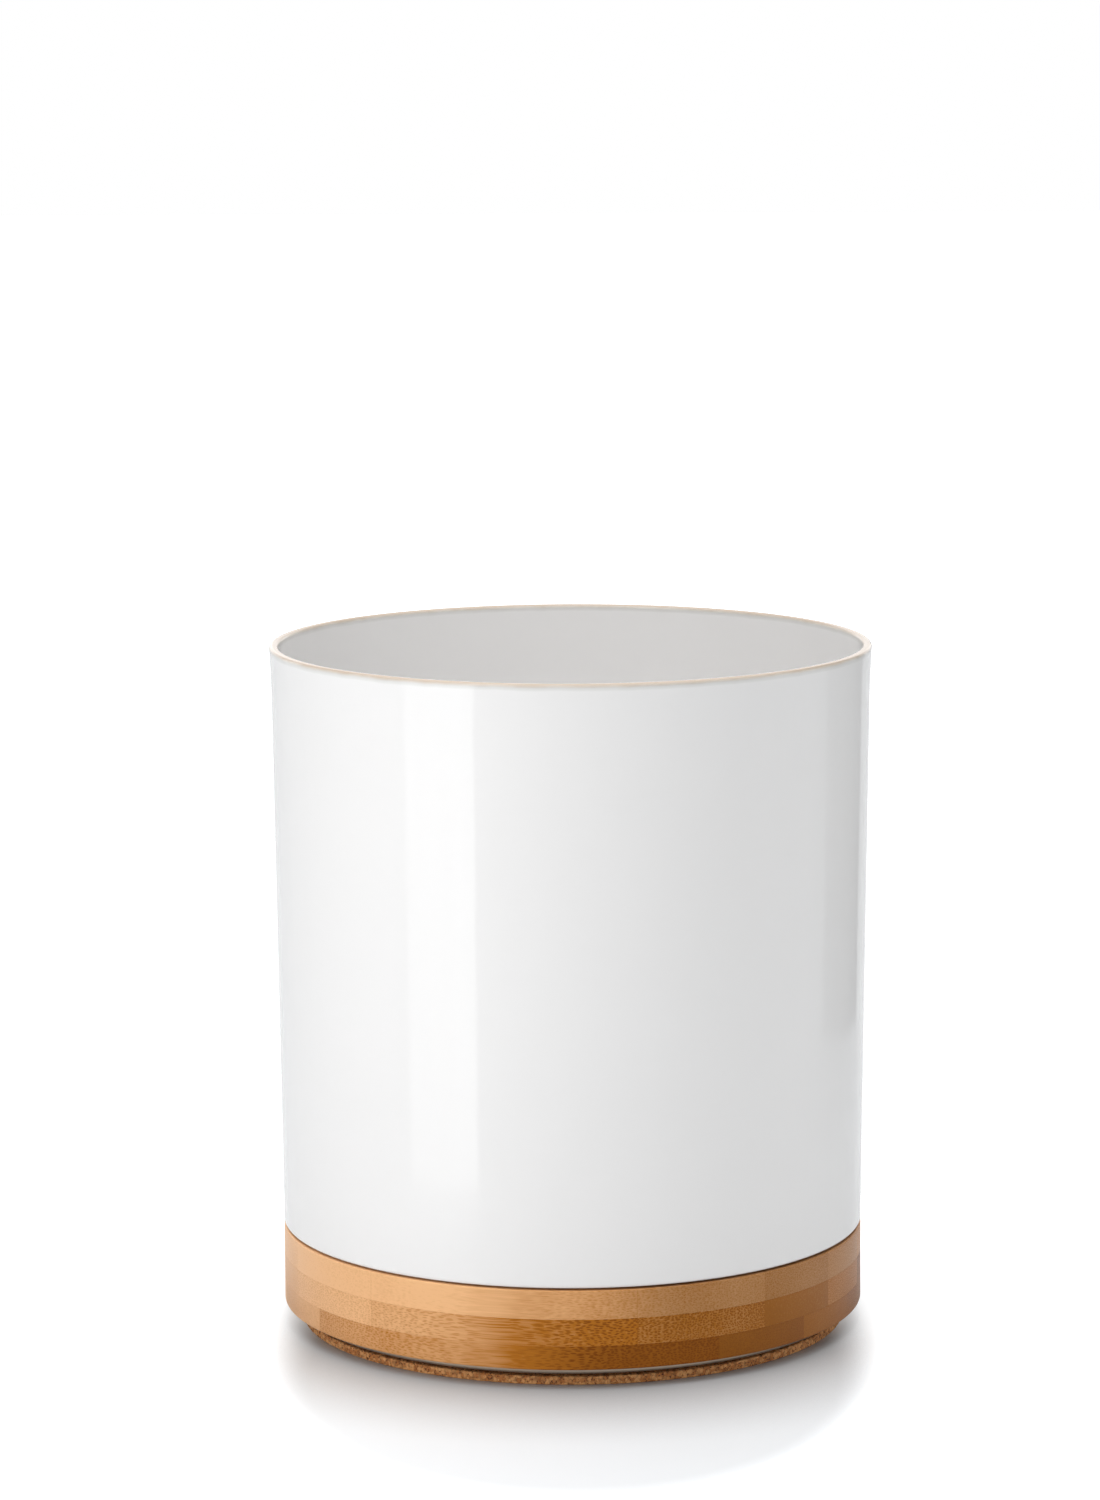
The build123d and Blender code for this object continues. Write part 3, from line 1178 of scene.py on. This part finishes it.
@dataclass
class PlateScrews(Assembly):
    """Six countersunk wood screws that hold the upper plate to the bamboo."""

    metal: TurnedMetal = TurnedMetal("screw_zinc", (0.60, 0.60, 0.58), 0.28)
    count: int = 6
    segments: int = 28
    head_rows: int = 3
    thread_rows: int = 30
    point_rows: int = 6
    head_radius: float = 2.75 * MM
    shank_radius: float = 1.5 * MM
    rim: float = 0.15 * MM
    point: float = 1.6 * MM
    thread_pitch: float = 0.9 * MM
    thread_depth: float = 0.35 * MM
    slot_share: float = 0.6
    slot_width: float = 0.7 * MM
    slot_depth: float = 0.8 * MM
    seed: int = 5

    @property
    def span(self) -> Span:
        """The span of the six screws."""
        return Span.of("plate_screws")

    @property
    def circle(self) -> float:
        """The radius of the circle that they stand on."""
        return self.span.radius - self.head_radius

    @property
    def neck(self) -> float:
        """The height where the head's cone meets the shank."""
        return self.span.low + self.head_radius - self.shank_radius

    def seats(self, piece: Piece) -> Piece:
        """Countersink the plate for the heads and drill it for the shanks.

        Args:
            piece: the plate.

        Returns:
            The plate with its seats.
        """
        low, high, shank = self.span.low, self.span.high, self.shank_radius
        piece = self.drill(piece, (low - self.rim, self.head_radius + self.rim), (self.neck, shank))
        return self.drill(piece, (low, shank), (high, shank))

    def drill(self, piece: Piece, start: Pair, end: Pair) -> Piece:
        """Cut a hole for each screw.

        Args:
            piece: what is cut.
            start: the height where the holes start, and their radius there.
            end: the height where they end, and their radius there.

        Returns:
            The drilled piece.
        """
        sizes = dict(zip(("Low", "Low_Radius", "High", "High_Radius"), start + end))
        return self.shop.drill(piece, Count=self.count, Circle_Radius=self.circle, **sizes)

    def build(self) -> None:
        """Turn, thread, slot and place the screws."""
        span = self.span
        outline = Outline(
            [
                Corner(0.0, span.low, rows=self.head_rows),
                Corner(self.head_radius, span.low),
                Corner(self.head_radius, span.low + self.rim),
                Corner(self.shank_radius, self.neck + self.rim, rows=self.thread_rows),
                Corner(self.shank_radius, span.high - self.point, rows=self.point_rows),
                Corner(0.0, span.high),
            ]
        )
        piece = ScrewRing().bake(
            "countersunk_screws",
            outline.mesh(),
            Segments=self.segments,
            Count=self.count,
            Circle_Radius=self.circle,
            Thread_Start=self.neck + self.thread_pitch,
            Thread_Pitch=self.thread_pitch,
            Thread_Depth=self.thread_depth,
            Slot_Base=span.low,
            Slot_Length=2 * self.head_radius * self.slot_share,
            Slot_Width=self.slot_width,
            Slot_Depth=self.slot_depth,
            Seed=self.seed,
            Material=self.metal.material(),
        )
        settle(piece, Body.TURNTABLE, "plate_screws")


@dataclass
class BambooBase(Assembly):
    """The three glued plies that the crock seats in."""

    bamboo: Bamboo = Bamboo()
    segments: int = 288
    flat_rows: int = 5
    edge_round: float = 0.4 * MM
    glue_round: float = 0.06 * MM
    recess_inset: float = 6.2 * MM
    groove_clearance: float = 0.4 * MM
    groove_half_width: float = 7.4 * MM
    pocket_clearance: float = 0.4 * MM
    # Each look's lean and painted shade span paint a highlight at the front's left and shade towards its
    # right; each strip's third value is its share of painted shade at that end.
    top_look: PlyLook = PlyLook(
        strip_start=-68.9 * MM,
        contrast=0.16,
        lean=0.28,
        painted_shade_span=(-26.0 * MM, 32.0 * MM),
        strips=(
            (0.13, 0.6, 0.31),
            (0.13, 0.7, 0.31),
            (0.18, 0.8, 0.35),
            (0.14, 0.7, 0.3),
            (0.25, 0.8, 0.1),
            (0.15, 0.6, 0.2),
            (0.2, 0.7, 0.1),
            (0.15, 0.6, 0.2),
        ),
    )
    middle_look: PlyLook = PlyLook(
        strip_start=-68.9 * MM,
        contrast=0.42,
        lean=0.4,
        painted_shade_span=(-30.0 * MM, 28.0 * MM),
        strips=(
            (0.31, 1.0, 0.0),
            (0.25, 0.9, 0.17),
            (0.31, 0.1, 0.28),
            (0.22, 0.5, 0.15),
            (0.5, 0.9, 0.1),
            (0.4, 0.6, 0.1),
            (0.5, 0.9, 0.0),
            (0.3, 0.7, 0.1),
        ),
    )
    bottom_look: PlyLook = PlyLook(
        strip_start=-55.9 * MM,
        contrast=0.4,
        lean=0.56,
        painted_shade_span=(-13.0 * MM, 37.0 * MM),
        strips=(
            (0.55, 1.0, 0.0),
            (0.42, 0.3, 0.2),
            (0.25, 0.2, 0.22),
            (0.35, 0.6, 0.15),
            (0.55, 1.0, 0.1),
            (0.45, 0.6, 0.1),
            (0.6, 0.9, 0.0),
            (0.5, 0.8, 0.0),
        ),
    )

    def top_outline(self, ply: Span) -> Outline:
        """A ring with rounded top edges.

        Args:
            ply: the top ply's span.

        Returns:
            The outline.
        """
        inner = ply.radius - self.recess_inset
        return Outline(
            [
                Corner(ply.radius, ply.low, self.glue_round, self.flat_rows),
                Corner(ply.radius, ply.high, self.edge_round),
                Corner(inner, ply.high, self.edge_round, self.flat_rows),
                Corner(inner, ply.low, self.glue_round),
            ],
            closed=True,
        )

    def middle_outline(self, ply: Span) -> Outline:
        """A solid disc.

        Args:
            ply: the middle ply's span.

        Returns:
            The outline.
        """
        return Outline(
            [
                Corner(0.0, ply.low, rows=self.flat_rows),
                Corner(ply.radius, ply.low, self.glue_round, self.flat_rows),
                Corner(ply.radius, ply.high, self.glue_round, self.flat_rows),
                Corner(0.0, ply.high),
            ]
        )

    def bottom_outline(self, ply: Span) -> Outline:
        """A disc routed below for the bearing's trough and the rivet's head.

        Args:
            ply: the bottom ply's span.

        Returns:
            The outline.
        """
        roof = Span.of("upper_bearing_plate").high + self.groove_clearance
        pocket = Span.of("thrust_washer").radius + self.pocket_clearance
        pocket_roof = Span.of("pivot_rivet").high + self.pocket_clearance
        circle = Span.of("bearing_balls").circle
        inner, outer = circle - self.groove_half_width, circle + self.groove_half_width
        return Outline(
            [
                Corner(0.0, pocket_roof),
                Corner(pocket, pocket_roof),
                Corner(pocket, ply.low, rows=self.flat_rows),
                Corner(inner, ply.low),
                Corner(inner, roof),
                Corner(outer, roof),
                Corner(outer, ply.low, rows=self.flat_rows),
                Corner(ply.radius, ply.low, self.edge_round, self.flat_rows),
                Corner(ply.radius, ply.high, self.glue_round, self.flat_rows),
                Corner(0.0, ply.high),
            ]
        )

    def build(self) -> None:
        """Turn and lacquer the plies, from the top down."""
        plies = {
            "top": (self.top_outline, self.top_look),
            "middle": (self.middle_outline, self.middle_look),
            "bottom": (self.bottom_outline, self.bottom_look),
        }
        for word, (outline, look) in plies.items():
            node = "bamboo_ply_" + word
            span = Span.of(node)
            material = self.bamboo.material(node, span, look)
            piece = self.shop.turn("laminated_ply_" + word, outline(span), self.segments, material)
            settle(piece, Body.TURNTABLE, node)


@dataclass
class Bearing(Assembly):
    """The two plates, the balls between them, and the rivet that holds them together."""

    screws: PlateScrews
    sheet: TurnedMetal = TurnedMetal("satin_aluminium", (0.46, 0.38, 0.30), 0.4)
    rivet: TurnedMetal = TurnedMetal("rivet_zinc", (0.58, 0.58, 0.57), 0.3)
    steel: TurnedMetal = TurnedMetal("ball_polish", (0.68, 0.68, 0.68), 0.14)
    nylon: Nylon = Nylon()
    segments: int = 256
    flat_rows: int = 4
    gauge: float = 2.0 * MM
    trough_half_width: float = 5.0 * MM
    inner_bend_share: float = 0.12
    outer_bend_share: float = 0.75
    race_clearance: float = 0.02 * MM
    race_steps: int = 8
    pivot_hole: float = 4.05 * MM
    edge_round: float = 0.3 * MM
    rollover: float = 0.9 * MM
    ball_count: int = 30

    def upper_outline(self, plate: Span, balls: Span) -> Outline:
        """The upper plate's section: flat, with a pressed trough that holds the balls' race.

        Args:
            plate: the plate's span.
            balls: the balls' span.

        Returns:
            The outline.
        """
        circle, height = balls.circle, balls.low + balls.ball
        face = plate.low + self.gauge
        roof = plate.high - self.gauge
        tight = (roof - plate.low) * self.inner_bend_share
        wide = (roof - plate.low) * self.outer_bend_share
        inner, outer = circle - self.trough_half_width, circle + self.trough_half_width
        race = balls.ball + self.race_clearance
        lean = math.acos((roof - height) / race)
        turns = [lean * (2 * k / self.race_steps - 1) for k in range(self.race_steps + 1)]
        return Outline(
            [
                Corner(self.pivot_hole, plate.low, rows=self.flat_rows),
                Corner(inner, plate.low, wide),
                Corner(inner, roof, tight),
                *(Corner(circle + race * math.sin(t), height + race * math.cos(t)) for t in turns),
                Corner(outer, roof, tight),
                Corner(outer, plate.low, wide, self.flat_rows),
                Corner(plate.radius, plate.low, self.rollover),
                Corner(plate.radius, face, self.edge_round, self.flat_rows),
                Corner(outer + self.gauge, face, tight),
                Corner(outer + self.gauge, plate.high, wide),
                Corner(inner - self.gauge, plate.high, wide),
                Corner(inner - self.gauge, face, tight, self.flat_rows),
                Corner(self.pivot_hole, face),
            ],
            closed=True,
        )

    def build(self) -> None:
        """Make the upper plate and the balls, and dress the frame's own pieces."""
        plate, balls = Span.of("upper_bearing_plate"), Span.of("bearing_balls")
        sheet = self.sheet.material()
        outline = self.upper_outline(plate, balls)
        upper = self.screws.seats(self.shop.turn("pressed_upper_plate", outline, self.segments, sheet))
        settle(upper, Body.TURNTABLE, "upper_bearing_plate")
        ring = BallRing().bake(
            "polished_balls",
            bpy.data.meshes.new("no_outline"),
            Count=self.ball_count,
            Circle_Radius=balls.circle,
            Ball_Radius=balls.ball,
            Height=balls.low + balls.ball,
            Material=self.steel.material(),
        )
        settle(ring, Body.BALL_RING, "bearing_balls")
        keep("lower_bearing_plate", sheet)
        keep("pivot_rivet", self.rivet.material())
        nylon = self.nylon.material()
        for node in ("ball_cage", "spacer_washer", "thrust_washer"):
            keep(node, nylon)


@dataclass
class CorkFoot(Assembly):
    """The pressed cork disc that the base turns on, with its crumbly edge."""

    cork: Cork = Cork()
    segments: int = 900
    edge_rows: int = 6
    flat_rows: int = 6
    edge_round: float = 0.3 * MM
    pocket_clearance: float = 0.4 * MM
    flange_radius: float = 6.5 * MM
    ripple: float = 0.55 * MM
    ripple_scale: float = 620.0
    crumb_band: float = 0.9 * MM
    crumb_density: float = 4.0e5
    smallest: float = 0.12 * MM
    largest: float = 0.3 * MM
    seed: int = 9

    def build(self) -> None:
        """Turn the disc, roughen its edge and scatter its crumbs."""
        pad, rivet = Span.of("cork_pad"), Span.of("pivot_rivet")
        pocket = self.flange_radius + self.pocket_clearance
        outline = Outline(
            [
                Corner(0.0, pad.low, rows=self.flat_rows),
                Corner(pad.radius, pad.low, self.edge_round, self.edge_rows),
                Corner(pad.radius, pad.high, self.edge_round, self.flat_rows),
                Corner(pocket, pad.high),
                Corner(pocket, rivet.low),
                Corner(0.0, rivet.low),
            ]
        )
        material = self.cork.material()
        disc = self.shop.turn(
            "cork_disc",
            outline,
            self.segments,
            material,
            Ripple_Share=self.ripple / pad.radius,
            Ripple_Scale=self.ripple_scale,
            Seed=self.seed,
        )
        mesh = disc.data
        bpy.data.objects.remove(disc)
        foot = Crumbling().bake(
            "granular_cork_foot",
            mesh,
            Edge_Radius=pad.radius - self.crumb_band,
            Low=pad.low + 2 * self.largest,
            High=pad.high,
            Density=self.crumb_density,
            Smallest=self.smallest,
            Largest=self.largest,
            Seed=self.seed,
            Material=material,
        )
        settle(foot, Body.FOOT, "cork_pad")


def way(azimuth: float, elevation: float = 0.0) -> Vector:
    """A direction, in degrees round from the front towards the right, and up."""
    turn, rise = math.radians(azimuth), math.radians(elevation)
    return Vector((math.sin(turn) * math.cos(rise), -math.cos(turn) * math.cos(rise), math.sin(rise)))


def stage_card(name: str, start: Vector, side: Vector, rise: Vector, material: Material) -> Piece:
    """Stand one flat card on the stage, which isn't part of the object.

    Args:
        name: the card's name.
        start: its first corner.
        side: the way to the second corner.
        rise: the way on to the third.
        material: its finish.

    Returns:
        The card.
    """
    mesh = bpy.data.meshes.new(name)
    mesh.from_pydata([start, start + side, start + side + rise, start + rise], [], [(0, 1, 2, 3)])
    mesh.materials.append(material)
    card = put(name, mesh)
    return card


@dataclass(frozen=True)
class Lamp:
    """A soft box that faces a point: its direction from there in degrees, size and radiance."""

    name: str
    azimuth: float
    elevation: float
    distance: float
    width: float
    height: float
    radiance: float
    aim: tuple[float, float, float] = (0.0, 0.0, 0.1)

    def hang(self) -> None:
        """Hang the lamp where the camera doesn't see it."""
        data = bpy.data.lights.new(self.name, "AREA")
        data.shape = "RECTANGLE"
        data.size, data.size_y = self.width, self.height
        data.energy = self.radiance * math.pi * self.width * self.height
        lamp = put(self.name, data)
        outward = way(self.azimuth, self.elevation)
        lamp.location = Vector(self.aim) + outward * self.distance
        lamp.rotation_euler = outward.to_track_quat("Z", "Y").to_euler()
        lamp.visible_camera = False


@dataclass
class Studio:
    """The plain floor, the soft lamps, the white surround and the camera, in degrees."""

    lamps: tuple[Lamp, ...] = (
        Lamp("overhead", 0.0, 90.0, 1.5, 2.2, 2.2, 1.6),
        Lamp("front_high", -5.0, 34.0, 1.8, 1.6, 1.1, 0.55),
        Lamp("front_top", -5.0, 60.0, 1.8, 1.6, 1.1, 0.65),
        Lamp("left_wide", -60.0, 20.0, 1.8, 0.7, 0.9, 0.38),
        Lamp("left_rim", -125.0, 8.0, 1.5, 0.7, 1.1, 0.37),
        Lamp("left_back", -150.0, 8.0, 1.5, 1.2, 1.1, 0.38),
        Lamp("right_near", 25.0, 18.0, 1.8, 0.9, 0.9, 0.42),
        Lamp("right_side", 90.0, 12.0, 1.7, 1.0, 0.9, 0.82),
        Lamp("right_back", 156.0, 8.0, 1.5, 0.5, 1.1, 0.37),
        Lamp("back_panel", 180.0, 20.0, 1.8, 1.6, 1.0, 0.5),
        Lamp("strip_left", -52.0, 0.0, 0.2627, 0.0378, 0.8, 1.02, (0.0, 0.0, 0.4)),
        Lamp("strip_middle", -43.7, 0.0, 0.26, 0.0378, 0.8, 1.31, (0.0, 0.0, 0.4)),
        Lamp("strip_right", -35.4, 0.0, 0.2627, 0.0378, 0.8, 1.72, (0.0, 0.0, 0.4)),
    )
    surround: float = 0.22
    reflected_share: float = 0.7
    floor_side: float = 12.0
    floor_colour: Colour = (0.862, 0.883, 0.902)
    floor_roughness: float = 0.45
    floor_gloss: float = 0.3
    # Painted contact shadow: ambient occlusion within the contact reach darkens the floor's colour and glow
    # near the crock.
    contact_reach: float = 0.05
    contact_samples: int = 8
    contact_least: float = 0.5
    contact_shade: float = 0.05
    contact_fade: Pair = (0.16, 0.2)
    # Painted shadow pool: an oval before the crock where the floor's white glow is off.
    pool_middle: float = -0.06
    pool_half_width: float = 0.09
    pool_half_depth: float = 0.13
    pool_fade: Pair = (0.75, 1.0)
    flag_azimuth: float = 122.5
    flag_width: float = 0.237
    flag_height: float = 0.5
    flag_distance: float = 0.4
    flag_colour: Colour = (0.46, 0.46, 0.46)
    flag_roughness: float = 0.9
    camera_place: tuple[float, float, float] = (0.0, -1.3082, 0.3589)
    camera_down: float = 8.941
    camera_turn: float = -0.241
    camera_roll: float = -0.25
    lens: float = 119.72
    film: float = 36.0
    clip: Pair = (0.05, 30.0)

    def floor(self) -> None:
        """Lay the pale floor, white to the camera outside a painted soft pool of shade before the crock, with
        a painted contact shadow near the crock.
        """
        board = MaterialBoard("pale_floor")
        inputs = {
            "Vector": board.place,
            "Location": (0.0, self.pool_middle, 0.0),
            "Scale": (self.pool_half_width, self.pool_half_depth, 1.0),
        }
        pool = board.get("ShaderNodeMapping", inputs, vector_type="TEXTURE")
        outside = board.step(board.vector_math("LENGTH", {0: pool}, "Value"), *self.pool_fade)
        inputs = {"Distance": self.contact_reach}
        open_air = board.get("ShaderNodeAmbientOcclusion", inputs, "AO", samples=self.contact_samples)
        away = board.step(board.radius(), *self.contact_fade)
        # Painted contact shadow, which darkens the floor's colour and its glow.
        painted_contact_shadow = board.math("MAXIMUM", board.math("MAXIMUM", open_air, away), self.contact_least)
        seen = board.get("ShaderNodeLightPath", output="Is Camera Ray")
        shade = dimmed(self.floor_colour, self.contact_shade)
        material = board.shade(
            Base_Color=board.blend(painted_contact_shadow, shade, self.floor_colour),
            Emission_Color=opaque(WHITE),
            Emission_Strength=board.times(seen, board.times(outside, painted_contact_shadow)),
            Roughness=self.floor_roughness,
            Specular_IOR_Level=self.floor_gloss,
        )
        side, depth = Vector((self.floor_side, 0.0, 0.0)), Vector((0.0, self.floor_side, 0.0))
        stage_card("floor", (side + depth) / -2, side, depth, material)

    def flag(self) -> None:
        """Stand a dark card on the right, where it draws the shaded side of the glaze."""
        board = MaterialBoard("dark_card")
        material = board.shade(
            Base_Color=opaque(self.flag_colour),
            Roughness=self.flag_roughness,
            Specular_IOR_Level=0.0,
        )
        side = way(self.flag_azimuth + 90.0) * self.flag_width
        start = way(self.flag_azimuth) * self.flag_distance - side / 2
        rise = Vector((0.0, 0.0, self.flag_height))
        stage_card("dark_card", start, side, rise, material).visible_camera = False

    def world(self) -> None:
        """Fill the surround: white where it shows or is reflected, softer where it only lights."""
        world = bpy.data.worlds.new("surround")
        world.use_nodes = True
        bpy.context.scene.world = world
        board = NodeBoard(world.node_tree)
        ray = board.add("ShaderNodeLightPath").outputs
        seen = board.math("MAXIMUM", ray["Is Camera Ray"], ray["Is Transmission Ray"])
        seen = board.math("MAXIMUM", seen, board.times(ray["Is Glossy Ray"], self.reflected_share))
        back = world.node_tree.nodes["Background"].inputs
        back["Color"].default_value = opaque(WHITE)
        board.feed(back["Strength"], board.between(seen, self.surround, 1.0))

    def camera(self) -> None:
        """Set the camera where the photograph was taken from, facing back and down at the crock."""
        forward = way(180.0 - self.camera_turn, -self.camera_down)
        right = way(90.0 - self.camera_turn)
        up = right.cross(forward)
        roll = math.radians(self.camera_roll)
        across = right * math.cos(roll) + up * math.sin(roll)
        upward = up * math.cos(roll) - right * math.sin(roll)
        data = bpy.data.cameras.new("camera")
        data.lens, data.sensor_width = self.lens, self.film
        data.clip_start, data.clip_end = self.clip
        view = put("camera", data)
        rows = Matrix((across, upward, -forward)).transposed()
        view.matrix_world = Matrix.Translation(self.camera_place) @ rows.to_4x4()
        bpy.context.scene.camera = view

    def build(self) -> None:
        """Set up the whole studio."""
        self.floor()
        self.flag()
        self.world()
        self.camera()
        for lamp in self.lamps:
            lamp.hang()
        bpy.context.scene.view_settings.view_transform = "Standard"


def main() -> None:
    """Build the pieces from the top down, then the studio."""
    logging.basicConfig(level=logging.INFO, format="%(message)s")
    shop = Workshop()
    screws = PlateScrews(shop)
    for assembly in (Crock(shop), BambooBase(shop), Bearing(shop, screws), screws, CorkFoot(shop)):
        assembly.build()
    Studio().build()


if __name__ == "__main__":
    main()
